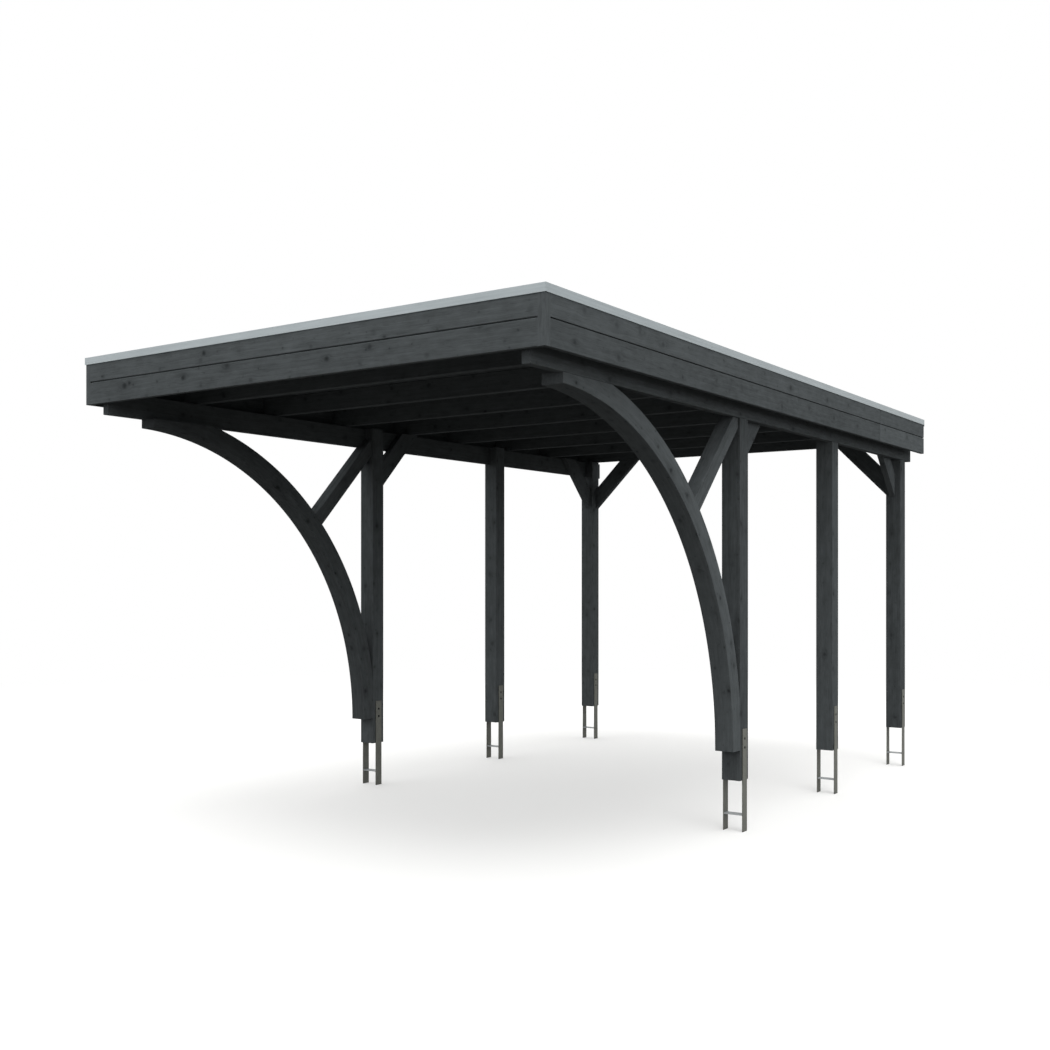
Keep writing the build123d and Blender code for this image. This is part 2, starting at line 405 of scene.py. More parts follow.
    def material(self) -> Material:
        """Make the finish.

        Returns:
            The finished material.
        """
        material, tree = new_material(self.name)
        face = self.face(tree)
        heart, halo, swerve = self.branches.scatter(tree, face.flat)
        pin, pin_halo, _ = self.pins.scatter(tree, face.flat)
        shift = add_node(tree, "VectorMath", {0: face.across, "Scale": swerve}, operation="SCALE")
        bent = add_node(tree, "VectorMath", {0: face.place, 1: shift}, operation="SUBTRACT")
        ring = self.rings(tree, bent)
        fibre = self.fibre.draw(tree, bent)
        tone = weigh(tree, self.tone, (self.stain.draw(tree, face.place), self.stain.weight),
                     (self.cloud.draw(tree, face.place), self.cloud.weight),
                     (self.streak.draw(tree, bent), self.streak.weight),
                     (ring, self.ring_weight), (fibre, self.fibre.weight))
        spots = ((heart, self.branches.heart_weight), (halo, self.branches.halo_weight),
                 (pin, self.pins.heart_weight), (pin_halo, self.pins.halo_weight))
        knots = weigh(tree, sum(weight for _, weight in spots) / 2, *spots)
        spotted = add_node(tree, "Math", {0: knots, 1: self.knottiness}, operation="MULTIPLY")
        faint, strong = self.fleck_range
        fleck = add_node(tree, "MapRange", {"Value": self.fleck.draw(tree, bent), "From Min": faint,
                                            "From Max": strong})
        flecked = add_node(tree, "Math", {0: fleck, 1: self.fleck.weight, 2: spotted},
                           operation="MULTIPLY_ADD")
        sawn = add_node(tree, "Math", {0: face.cut, 1: self.end_weight}, operation="MULTIPLY")
        shades = (flecked, *self.seams(tree, face.place), sawn)
        colour = layered(tree, self.dark, (self.varied(tree, tone), self.light),
                         *((shade, self.knot) for shade in shades))
        relief = weigh(tree, 0.5, (ring, self.ring_relief), (fibre, self.fibre_relief),
                       (heart, self.knot_relief))
        bump = add_node(tree, "Bump", {"Height": relief, "Strength": self.relief_strength,
                                       "Distance": self.relief_mm * MM})
        surface = add_node(tree, "BsdfPrincipled", {
            "Base Color": colour, "Roughness": weigh(tree, self.roughness, (fibre, self.fibre_roughness)),
            "Specular IOR Level": self.specular, "Normal": bump})
        add_node(tree, "OutputMaterial", {"Surface": surface})
        return material


@dataclass(frozen=True)
class BentTimber(StainedTimber):
    """Softwood lamellas glued to a curve: the grain follows the bow, with a hairline at each glue joint."""

    centre: tuple[float, float] = (0.0, 0.0)
    inner_radius: float = 1.0
    lamella_mm: float = 38.0
    glue_line_mm: float = 0.8
    glue_weight: float = 0.2

    def grain_space(self, tree: Tree) -> tuple[Source, Source]:
        """Roll the curve out flat, so that the fibres lie along X.

        Args:
            tree: The material's node tree.

        Returns:
            The place along, through and across the bow in metres, and the direction that its face looks in.
        """
        spot = add_node(tree, "TexCoord").outputs["Object"]
        arm = add_node(tree, "VectorMath", {0: spot, 1: (0, *self.centre)}, operation="SUBTRACT")
        parts = add_node(tree, "SeparateXYZ", {0: arm}).outputs
        angle = add_node(tree, "Math", {0: parts["Z"], 1: parts["Y"]}, operation="ARCTAN2")
        length = add_node(tree, "Math", {0: angle, 1: self.inner_radius}, operation="MULTIPLY")
        flat = add_node(tree, "VectorMath", {0: arm, 1: (0, 1, 1)}, operation="MULTIPLY")
        radius = add_node(tree, "VectorMath", {0: flat}, operation="LENGTH").outputs["Value"]
        depth = add_node(tree, "Math", {0: radius, 1: self.inner_radius}, operation="SUBTRACT")
        rolled = add_node(tree, "CombineXYZ", {0: length, 1: depth, 2: parts["X"]})
        outward = add_node(tree, "VectorMath", {0: flat}, operation="NORMALIZE")
        onward = add_node(tree, "VectorMath", {0: (1, 0, 0), 1: outward}, operation="CROSS_PRODUCT")
        looks = add_node(tree, "NewGeometry").outputs["True Normal"]
        shares = [add_node(tree, "VectorMath", {0: looks, 1: way}, operation="DOT_PRODUCT").outputs["Value"]
                  for way in (onward, outward, (1, 0, 0))]
        return rolled, add_node(tree, "CombineXYZ", dict(enumerate(shares)))

    def seams(self, tree: Tree, place: Source) -> list[Source]:
        """Draw the glue joints between the lamellas.

        Args:
            tree: The material's node tree.
            place: The place along, through and across the bow.

        Returns:
            How dark the joints are, from 0 to under 1.
        """
        depth = add_node(tree, "SeparateXYZ", {0: place}).outputs["Y"]
        layer = add_node(tree, "Math", {0: depth, 1: self.lamella_mm * MM / 2}, operation="PINGPONG")
        line = add_node(tree, "MapRange", {"Value": layer, "From Max": self.glue_line_mm * MM,
                                           "To Min": self.glue_weight, "To Max": 0.0})
        return [line]


@dataclass(frozen=True)
class BoardedTimber(StainedTimber):
    """Boards next to each other: each one is cut from another place in the tree."""

    axis: str = "X"
    start: float = 0.0
    pitch: float = 0.1
    contrast: float = 0.2

    def number(self, tree: Tree) -> Source:
        """Number the boards from the start, one for each pitch.

        Args:
            tree: The material's node tree.

        Returns:
            The number of the board.
        """
        spot = add_node(tree, "TexCoord").outputs["Object"]
        side = add_node(tree, "SeparateXYZ", {0: spot}).outputs[self.axis]
        moved = add_node(tree, "Math", {0: side, 1: self.start}, operation="SUBTRACT")
        board = add_node(tree, "Math", {0: moved, 1: self.pitch}, operation="DIVIDE")
        return add_node(tree, "Math", {0: board}, operation="FLOOR")

    def grain_space(self, tree: Tree) -> tuple[Source, Source]:
        """Lay the fibres along X, with each board cut from another place in the tree.

        Args:
            tree: The material's node tree.

        Returns:
            The place in the timber in metres, and the direction that its face looks in.
        """
        place, normal = super().grain_space(tree)
        jump = add_node(tree, "VectorMath", {0: BOARD_JUMP, "Scale": self.number(tree)}, operation="SCALE")
        return add_node(tree, "VectorMath", {0: place, 1: jump}), normal

    def varied(self, tree: Tree, tone: Source) -> Source:
        """Let each board take the stain a little differently.

        Args:
            tree: The material's node tree.
            tone: The tone of one board.

        Returns:
            The tone of all boards.
        """
        spread = add_node(tree, "Math", {0: self.number(tree), 1: GOLDEN_SHARE}, operation="MULTIPLY")
        lot = add_node(tree, "Math", {0: spread}, operation="FRACT")
        above = add_node(tree, "Math", {0: lot, 1: 0.5}, operation="SUBTRACT")
        return add_node(tree, "Math", {0: above, 1: self.contrast, 2: tone}, operation="MULTIPLY_ADD")


@dataclass(frozen=True)
class MillAluminium:
    """Extruded aluminium, its mill finish dulled: pale grey, soft sheen, faint lines along its length."""

    name: str
    light: str = "#bbc3c6"
    dark: str = "#8d9699"
    tone: float = 0.5
    line: Pattern = Pattern(size_mm=(900, 900, 9), detail=2.0, weight=0.6)
    patch: Pattern = Pattern(size_mm=(260, 260, 40), detail=3.0, weight=0.6)
    # The skin of oxide that aluminium grows outdoors takes some of its shine
    metallic: float = 0.55
    roughness: float = 0.46
    patch_roughness: float = 0.18
    line_roughness: float = 0.08

    def material(self) -> Material:
        """Make the finish.

        Returns:
            The finished material.
        """
        material, tree = new_material(self.name)
        place = add_node(tree, "TexCoord").outputs["Object"]
        patch = self.patch.draw(tree, place)
        line = self.line.draw(tree, place)
        tone = weigh(tree, self.tone, (patch, self.patch.weight), (line, self.line.weight))
        roughness = weigh(tree, self.roughness, (patch, self.patch_roughness), (line, self.line_roughness))
        surface = add_node(tree, "BsdfPrincipled", {
            "Base Color": layered(tree, self.dark, (tone, self.light)), "Metallic": self.metallic,
            "Roughness": roughness})
        add_node(tree, "OutputMaterial", {"Surface": surface})
        return material


@dataclass(frozen=True)
class GalvanisedSteel:
    """Hot-dip galvanised steel, dulled: zinc crystals of many greys, painted shade in its holes and corners,
    painted light on the bars.
    """

    name: str = "galvanised_steel_hot_dip"
    light: str = "#767771"
    dark: str = "#5a5c56"
    tone: float = 0.5
    # Painted light: the cross bars are drawn paler, standing in for light falling on their tops
    painted_bar_light: str = "#a9adae"
    # Painted shade: this dark colour is laid into the bolt holes and into corners where shade falls
    painted_shade: str = "#1c1c1a"
    # How far the painted shade in corners reaches, how many samples find it, and between which openness it
    # fades
    shade_reach_mm: float = 12.0
    shade_samples: int = 6
    shade_range: tuple[float, float] = (0.35, 0.8)
    bar_x: tuple[float, float] = (0.0, 0.1)
    bar_z: tuple[float, float] = (0.09, 0.105)
    hole_z: tuple[float, float] = (0.491, 0.543)
    hole_y: float = 0.0
    hole_spacing: float = 1.0
    # Radii between which the painted shade in the bolt holes fades out
    hole_shade_mm: tuple[float, float] = (7.5, 9.5)
    crystal_mm: float = 9.0
    crystal_weight: float = 0.5
    cloud: Pattern = Pattern(size_mm=(45, 45, 60), detail=3.0, weight=1.0)
    relief_mm: float = 0.2
    relief_strength: float = 0.15
    # Zinc that has stood outdoors is under a dull skin of its own oxide, so little of it shines as metal
    metallic: float = 0.25
    roughness: float = 0.62
    crystal_roughness: float = 0.15
    cloud_roughness: float = 0.15
    specular: float = 0.2

    def on_bar(self, tree: Tree, place: Source) -> Source:
        """Find the cross bars between the strips, which are painted paler as light on their tops.

        Args:
            tree: The material's node tree.
            place: The place on the carport.

        Returns:
            One on the bars, zero elsewhere.
        """
        parts = add_node(tree, "SeparateXYZ", {0: place}).outputs
        out = add_node(tree, "Math", {0: parts["X"]}, operation="ABSOLUTE")
        inside = [add_node(tree, "Math", {0: value, 1: (low + high) / 2, 2: (high - low) / 2},
                           operation="COMPARE")
                  for value, (low, high) in ((out, self.bar_x), (parts["Z"], self.bar_z))]
        return add_node(tree, "Math", dict(enumerate(inside)), operation="MULTIPLY")

    def painted_hole_shade(self, tree: Tree, place: Source) -> Source:
        """Find the bolt holes and the rims round them, where shade is painted.

        Args:
            tree: The material's node tree.
            place: The place on the carport.

        Returns:
            One in the holes, falling to zero outside their rims.
        """
        parts = add_node(tree, "SeparateXYZ", {0: place}).outputs
        moved = add_node(tree, "Math", {0: parts["Y"], 1: self.hole_y}, operation="SUBTRACT")
        side = add_node(tree, "Math", {0: moved, 1: self.hole_spacing / 2}, operation="PINGPONG")
        nearest: Any = FAR
        for height in self.hole_z:
            rise = add_node(tree, "Math", {0: parts["Z"], 1: height}, operation="SUBTRACT")
            arm = add_node(tree, "CombineXYZ", {0: side, 1: rise})
            reach = add_node(tree, "VectorMath", {0: arm}, operation="LENGTH").outputs["Value"]
            nearest = add_node(tree, "Math", {0: reach, 1: nearest}, operation="MINIMUM")
        hole_mm, rim_mm = self.hole_shade_mm
        return add_node(tree, "MapRange", {"Value": nearest, "From Min": hole_mm * MM,
                                           "From Max": rim_mm * MM, "To Min": 1.0, "To Max": 0.0})

    def material(self) -> Material:
        """Make the finish.

        Returns:
            The finished material.
        """
        material, tree = new_material(self.name)
        place = add_node(tree, "TexCoord").outputs["Object"]
        crystals = add_node(tree, "TexVoronoi", {"Vector": place, "Scale": 1 / (self.crystal_mm * MM)})
        crystal = add_node(tree, "SeparateColor", {"Color": crystals.outputs["Color"]}).outputs["Red"]
        cloud = self.cloud.draw(tree, place)
        tone = weigh(tree, self.tone, (crystal, self.crystal_weight), (cloud, self.cloud.weight))
        # Painted shade: the colour darkens where the surface is hemmed in, in corners, crevices and holes
        openness = add_node(tree, "AmbientOcclusion", {"Distance": self.shade_reach_mm * MM},
                            samples=self.shade_samples)
        shaded_at, unshaded_at = self.shade_range
        corner_shade = add_node(tree, "MapRange", {"Value": openness.outputs["AO"], "From Min": shaded_at,
                                              "From Max": unshaded_at, "To Min": 1.0, "To Max": 0.0})
        # The bars get painted light; the holes and corners get painted shade
        colour = layered(tree, self.dark, (tone, self.light), (self.on_bar(tree, place), self.painted_bar_light),
                         (self.painted_hole_shade(tree, place), self.painted_shade), (corner_shade, self.painted_shade))
        roughness = weigh(tree, self.roughness, (crystal, self.crystal_roughness),
                          (cloud, self.cloud_roughness))
        bump = add_node(tree, "Bump", {"Height": crystal, "Strength": self.relief_strength,
                                       "Distance": self.relief_mm * MM})
        surface = add_node(tree, "BsdfPrincipled", {
            "Base Color": colour, "Metallic": self.metallic, "Roughness": roughness,
            "Specular IOR Level": self.specular, "Normal": bump})
        add_node(tree, "OutputMaterial", {"Surface": surface})
        return material


@dataclass(frozen=True)
class RoofingFelt:
    """Bitumen roofing sheet with slate chips: dark, matt and gritty, a little paler where water stood."""

    name: str = "bitumen_felt_slate_chips"
    light: str = "#5b6064"
    dark: str = "#33373a"
    tone: float = 0.5
    # Chips are about 1.2 mm; they are drawn at 4 mm so that they show in a render of the whole roof
    chip_mm: float = 4.0
    chip_weight: float = 0.55
    chip_roughness: float = 0.1
    puddle: Pattern = Pattern(size_mm=(700, 900, 700), detail=4.0, weight=0.9)
    roll_weight: float = 0.3
    laps_x: tuple[float, ...] = ()
    bitumen: str = "#17181a"
    bleed_mm: float = 9.0
    bleed_weight: float = 0.85
    bleed_roughness: float = -0.35
    relief_mm: float = 0.8
    relief_strength: float = 0.6
    roughness: float = 0.75
    specular: float = 0.2

    def laps(self, tree: Tree, place: Source) -> tuple[Any, Any]:
        """Find the laps between the rolls.

        Args:
            tree: The material's node tree.
            place: The place on the carport.

        Returns:
            The number of the roll, and how far the nearest lap is.
        """
        across = add_node(tree, "SeparateXYZ", {0: place}).outputs["X"]
        number: Any = 0.0
        nearest: Any = FAR
        for lap_x in self.laps_x:
            past = add_node(tree, "Math", {0: across, 1: lap_x}, operation="GREATER_THAN")
            number = add_node(tree, "Math", {0: past, 1: number})
            offset = add_node(tree, "Math", {0: across, 1: lap_x}, operation="SUBTRACT")
            reach = add_node(tree, "Math", {0: offset}, operation="ABSOLUTE")
            nearest = add_node(tree, "Math", {0: reach, 1: nearest}, operation="MINIMUM")
        return number, nearest

    def material(self) -> Material:
        """Make the finish.

        Returns:
            The finished material.
        """
        material, tree = new_material(self.name)
        place = add_node(tree, "TexCoord").outputs["Object"]
        chips = add_node(tree, "TexVoronoi", {"Vector": place, "Scale": 1 / (self.chip_mm * MM)}).outputs
        chip = add_node(tree, "SeparateColor", {"Color": chips["Color"]}).outputs["Red"]
        number, nearest = self.laps(tree, place)
        roll = add_node(tree, "TexWhiteNoise", {"W": number}, noise_dimensions="1D").outputs["Value"]
        puddle = self.puddle.draw(tree, place)
        tone = weigh(tree, self.tone, (chip, self.chip_weight), (puddle, self.puddle.weight),
                     (roll, self.roll_weight))
        width = self.bleed_mm * MM
        bleed = add_node(tree, "MapRange", {"Value": nearest, "From Min": width / 2, "From Max": width,
                                            "To Min": self.bleed_weight, "To Max": 0.0})
        roughness = weigh(tree, self.roughness, (chip, self.chip_roughness), (bleed, self.bleed_roughness))
        bump = add_node(tree, "Bump", {"Height": chips["Distance"], "Strength": self.relief_strength,
                                       "Distance": self.relief_mm * MM}, invert=True)
        surface = add_node(tree, "BsdfPrincipled", {
            "Base Color": layered(tree, self.dark, (tone, self.light), (bleed, self.bitumen)),
            "Roughness": roughness, "Specular IOR Level": self.specular, "Normal": bump})
        add_node(tree, "OutputMaterial", {"Surface": surface})
        return material


def dress(node: str, material: Material) -> None:
    """Give a carried-over node its finish.

    Args:
        node: The node's name.
        material: The finish for all of its surface.
    """
    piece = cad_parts[node]
    if not piece.material_slots:
        piece.data.materials.append(material)
    for slot in piece.material_slots:
        slot.material = material
    LOG.info("%s: %s", node, material.name)


def pick(*pieces: Piece) -> None:
    """Select some pieces and nothing else.

    Args:
        pieces: The pieces, of which the first one becomes the active one.
    """
    bpy.ops.object.select_all(action="DESELECT")
    for piece in pieces:
        piece.select_set(True)
    bpy.context.view_layer.objects.active = pieces[0]


@contextmanager
def editing(piece: Piece) -> Iterator[None]:
    """Open a piece in edit mode with all of it selected, and close it again.

    Args:
        piece: The piece to edit.
    """
    pick(piece)
    bpy.ops.object.mode_set(mode="EDIT")
    bpy.ops.mesh.select_all(action="SELECT")
    yield
    bpy.ops.object.mode_set(mode="OBJECT")


@contextmanager
def editing_faces(piece: Piece, wanted: Callable[[Vector], bool]) -> Iterator[None]:
    """Open a piece in edit mode with some faces selected, and close it again.

    Args:
        piece: The piece to edit.
        wanted: Tells from a face's middle whether it is selected.
    """
    bpy.context.tool_settings.mesh_select_mode = (False, False, True)
    with editing(piece):
        bpy.ops.mesh.select_all(action="DESELECT")
        bpy.ops.object.mode_set(mode="OBJECT")
        for polygon in piece.data.polygons:
            polygon.select = wanted(polygon.center)
        bpy.ops.object.mode_set(mode="EDIT")
        yield
    bpy.context.tool_settings.mesh_select_mode = (True, False, False)


def cut_across(piece: Piece, places_x: tuple[float, float]) -> None:
    """Cut lines round a piece, square to X.

    Args:
        piece: The piece to cut.
        places_x: Where the lines are.
    """
    with editing(piece):
        for x in places_x:
            bpy.ops.mesh.select_all(action="SELECT")
            bpy.ops.mesh.bisect(plane_co=(x, 0, 0), plane_no=(1, 0, 0))


def started(name: str) -> Piece:
    """Name the active piece and put its place into its mesh.

    Args:
        name: The piece's name.

    Returns:
        The piece.
    """
    piece = bpy.context.active_object
    piece.name = name
    bpy.ops.object.transform_apply(location=True, rotation=True, scale=True)
    return piece


def stock(name: str, low: Triple, high: Triple) -> Piece:
    """Cut the plain block that a piece is shaped from, or the plain sheet where both corners are level.

    Args:
        name: The piece's name.
        low: The block's lowest corner.
        high: The block's highest corner.

    Returns:
        The piece.
    """
    width, length, height = (end - start for start, end in zip(low, high))
    add = bpy.ops.mesh.primitive_cube_add if height else bpy.ops.mesh.primitive_plane_add
    bpy.ops.object.select_all(action="DESELECT")
    add(size=1, location=[(start + end) / 2 for start, end in zip(low, high)])
    bpy.ops.transform.resize(value=(width, length, height or 1))
    return started(name)


def modify(piece: Piece, kind: str, **settings: Any) -> None:
    """Shape a piece with a modifier and apply it.

    Args:
        piece: The piece.
        kind: The modifier's type.
        settings: The modifier's own settings.
    """
    pick(piece)
    modifier = piece.modifiers.new(kind.lower(), kind)
    for setting, value in settings.items():
        setattr(modifier, setting, value)
    bpy.ops.object.modifier_apply(modifier=modifier.name)


def copied(piece: Piece, name: str, shift: Triple) -> Piece:
    """Copy a piece, with a mesh of its own, to another place.

    Args:
        piece: The piece to copy.
        name: The copy's name.
        shift: How far the copy lies from the piece.

    Returns:
        The copy.
    """
    pick(piece)
    bpy.ops.object.duplicate(linked=False)
    bpy.ops.transform.translate(value=shift)
    return started(name)


def joined(pieces: list[Piece], name: str) -> Piece:
    """Join pieces into one.

    Args:
        pieces: The pieces, of which the first one stays.
        name: The joined piece's name.

    Returns:
        The joined piece.
    """
    pick(*pieces)
    bpy.ops.object.join()
    return started(name)


def finish(piece: Piece, material: Material, slot: str, *nodes: str, round_to: float = 20) -> None:
    """Give a new piece its finish and set it on the carport.

    Args:
        piece: The new piece.
        material: Its finish.
        slot: A material slot's name, which is not used.
        nodes: The nodes that the piece stands for, if any.
        round_to: The angle in degrees up to which edges are shaded round.
    """
    piece.data.materials.clear()
    piece.data.materials.append(material)
    pick(piece)
    bpy.ops.object.shade_smooth_by_angle(angle=math.radians(round_to))
    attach(piece, BODY)
    if nodes:
        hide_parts(*nodes)
    LOG.info("%s: %d faces of %s", piece.name, len(piece.data.polygons), material.name)


@dataclass
class Posts:
    """Six square posts from six trees, some of which took the stain darker or lighter than the rest."""

    tones: tuple[tuple[str, float], ...] = (
        ("front_left", 0.5), ("middle_left", 0.57), ("rear_left", 0.5),
        ("front_right", 0.34), ("middle_right", 0.5), ("rear_right", 0.36))
    seed_step: float = 1.7

    def build(self) -> None:
        """Stain the posts."""
        for number, (place, tone) in enumerate(self.tones):
            timber = StainedTimber(f"stained_softwood_post_{place}", Grain.UPRIGHT, self.seed_step * number,
                                   tone=tone)
            dress(f"post_{place}", timber.material())


@dataclass
class Anchors:
    """Six welded steel post anchors, with the weld beads along their cross bars."""

    thickness_mm: float = 5.0
    bar_top_mm: float = 100.0
    drop_radii_mm: Triple = (3.6, 3.0, 3.2)
    drop_sides: int = 10
    drop_rings: int = 6
    drop_pitch_mm: float = 2.6
    bead_ends_mm: float = 4.0
    round_to: float = 60.0

    def bead(self, start: Triple, length: float) -> Piece:
        """Lay one weld bead as a row of overlapping drops.

        Args:
            start: The middle of the first drop.
            length: The bead's length, along Y.

        Returns:
            The bead.
        """
        bpy.ops.object.select_all(action="DESELECT")
        bpy.ops.mesh.primitive_uv_sphere_add(segments=self.drop_sides, ring_count=self.drop_rings, radius=1,
                                             location=start)
        bpy.ops.transform.resize(value=[size * MM for size in self.drop_radii_mm])
        piece = started("weld_bead")
        pitch = self.drop_pitch_mm * MM
        modify(piece, "ARRAY", use_relative_offset=False, use_constant_offset=True,
               constant_offset_displace=(0, pitch, 0), count=int(length / pitch) + 1)
        return piece

    def welds(self, node: str) -> Piece:
        """Weld the cross bar of one anchor to its strips, above and below.

        Args:
            node: The anchor's node.

        Returns:
            The beads as one piece.
        """
        low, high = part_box(node)
        thickness = self.thickness_mm * MM
        inset = self.bead_ends_mm * MM
        start = (low.x + thickness, low.y + inset, self.bar_top_mm * MM)
        first = self.bead(start, high.y - low.y - 2 * inset)
        span = high.x - low.x - 2 * thickness
        shifts = ((0, 0, -thickness), (span, 0, 0), (span, 0, -thickness))
        beads = [first, *(copied(first, "weld_bead", shift) for shift in shifts)]
        return joined(beads, node.replace("anchor", "anchor_welds"))

    def build(self) -> None:
        """Galvanise the anchors and weld them."""
        boxes = [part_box(f"anchor_{place}_right") for place in PLACES]
        first_y, second_y, _ = ((low.y + high.y) / 2 for low, high in boxes)
        low, high = boxes[0]
        thickness = self.thickness_mm * MM
        material = GalvanisedSteel(bar_x=(low.x + thickness, high.x - thickness), hole_y=first_y,
                                   hole_spacing=second_y - first_y).material()
        for side in SIDES:
            for place in PLACES:
                node = f"anchor_{place}_{side}"
                dress(node, material)
                finish(self.welds(node), material, "galvanised_steel", round_to=self.round_to)


@dataclass
class Purlins:
    """The two beams along the sides."""

    timber: StainedTimber = StainedTimber(
        "stained_softwood_lengthwise", Grain.LENGTHWISE, seed=1.3, tone=0.42)

    def build(self) -> None:
        """Stain the purlins."""
        material = self.timber.material()
        for side in SIDES:
            dress(f"purlin_{side}", material)


@dataclass
class Arches:
    """Two curved entrance arches: quarter rings, plumb at the tip, level on top and planed to the post."""

    tones: tuple[float, float] = (0.36, 0.64)
    knottiness: float = 1.0
    depth_mm: float = 114.0
    tip_thickness_mm: float = 50.5
    tip_cut_mm: float = 44.0
    edge_mm: float = 4.0
    edge_steps: int = 3
    ring_steps: int = 96
    # A little past the top; the spin tool turns the other way about its axis, so the angle is negative
    ring_angle: float = math.radians(-91)

    def __post_init__(self) -> None:
        """Find the ring in the frame."""
        self.low, self.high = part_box("arch_right")
        self.inner_radius = self.high.z - self.low.z - self.tip_thickness_mm * MM
        self.middle_x = (self.low.x + self.high.x) / 2
        self.centre = (self.low.y - self.tip_cut_mm * MM, self.low.z)

    def ring(self) -> Piece:
        """Spin the section about the middle of the ring and cut it to length.

        Returns:
            The arch on the right.
        """
        low, high = self.low, self.high
        centre_y, centre_z = self.centre
        inner_y = centre_y + self.inner_radius
        piece = stock("curved_arch_right", (low.x, inner_y, centre_z),
                      (high.x, inner_y + self.depth_mm * MM, centre_z))
        cuts = (((0, 0, high.z), (0, 0, 1)), ((0, low.y, 0), (0, -1, 0)), ((0, high.y, 0), (0, 1, 0)))
        with editing(piece):
            bpy.ops.mesh.bevel(offset=self.edge_mm * MM, segments=self.edge_steps, affect="VERTICES")
            bpy.ops.mesh.spin(steps=self.ring_steps, angle=self.ring_angle, axis=(1, 0, 0),
                              center=(self.middle_x, centre_y, centre_z))
            bpy.ops.mesh.select_all(action="SELECT")
            bpy.ops.mesh.remove_doubles(threshold=TOUCH)
            for point, normal in cuts:
                bpy.ops.mesh.select_all(action="SELECT")
                bpy.ops.mesh.bisect(plane_co=point, plane_no=normal, use_fill=True, clear_outer=True)
            bpy.ops.mesh.select_all(action="SELECT")
            bpy.ops.mesh.normals_make_consistent(inside=False)
        return piece

    def build(self) -> None:
        """Model both arches and stain them."""
        right = self.ring()
        left = copied(right, "curved_arch_left", (-2 * self.middle_x, 0, 0))
        for side, piece, tone in zip(SIDES, (left, right), self.tones):
            timber = BentTimber(
                f"stained_softwood_bent_lamellas_{side}", tone=tone, knottiness=self.knottiness,
                centre=self.centre, inner_radius=self.inner_radius)
            finish(piece, timber.material(), "stained_glulam", f"arch_{side}")


@dataclass
class Braces:
    """The struts behind the arches and the knee braces at the posts."""

    name: str = "stained_softwood"
    seed: float = 2.1

    def build(self) -> None:
        """Stain each brace along its own slope."""
        slopes = {
            Grain.UP_TO_REAR: ("arch_strut_left", "arch_strut_right",
                               "front_brace_left", "front_brace_right"),
            Grain.UP_TO_FRONT: ("rear_brace_left", "rear_brace_right"),
            Grain.UP_TO_RIGHT: ("cross_brace_left",),
            Grain.UP_TO_LEFT: ("cross_brace_right",)}
        for grain, nodes in slopes.items():
            material = StainedTimber(f"{self.name}_{grain.name.lower()}", grain, self.seed).material()
            for node in nodes:
                dress(node, material)


@dataclass
class Rafters:
    """Nine rafters across the purlins."""

    timber: StainedTimber = StainedTimber("stained_softwood_across", Grain.ACROSS, seed=3.7)

    def build(self) -> None:
        """Stain the rafters."""
        material = self.timber.material()
        for node in ("rafter_front", "rafters_inner", "rafter_rear"):
            dress(node, material)


class BoardRow(NamedTuple):
    """One row of fascia boards: which part of the tree it is from, and how its boards took the stain."""

    name: str
    seed: float
    front_tone: float
    side_tone: float
    contrast: float


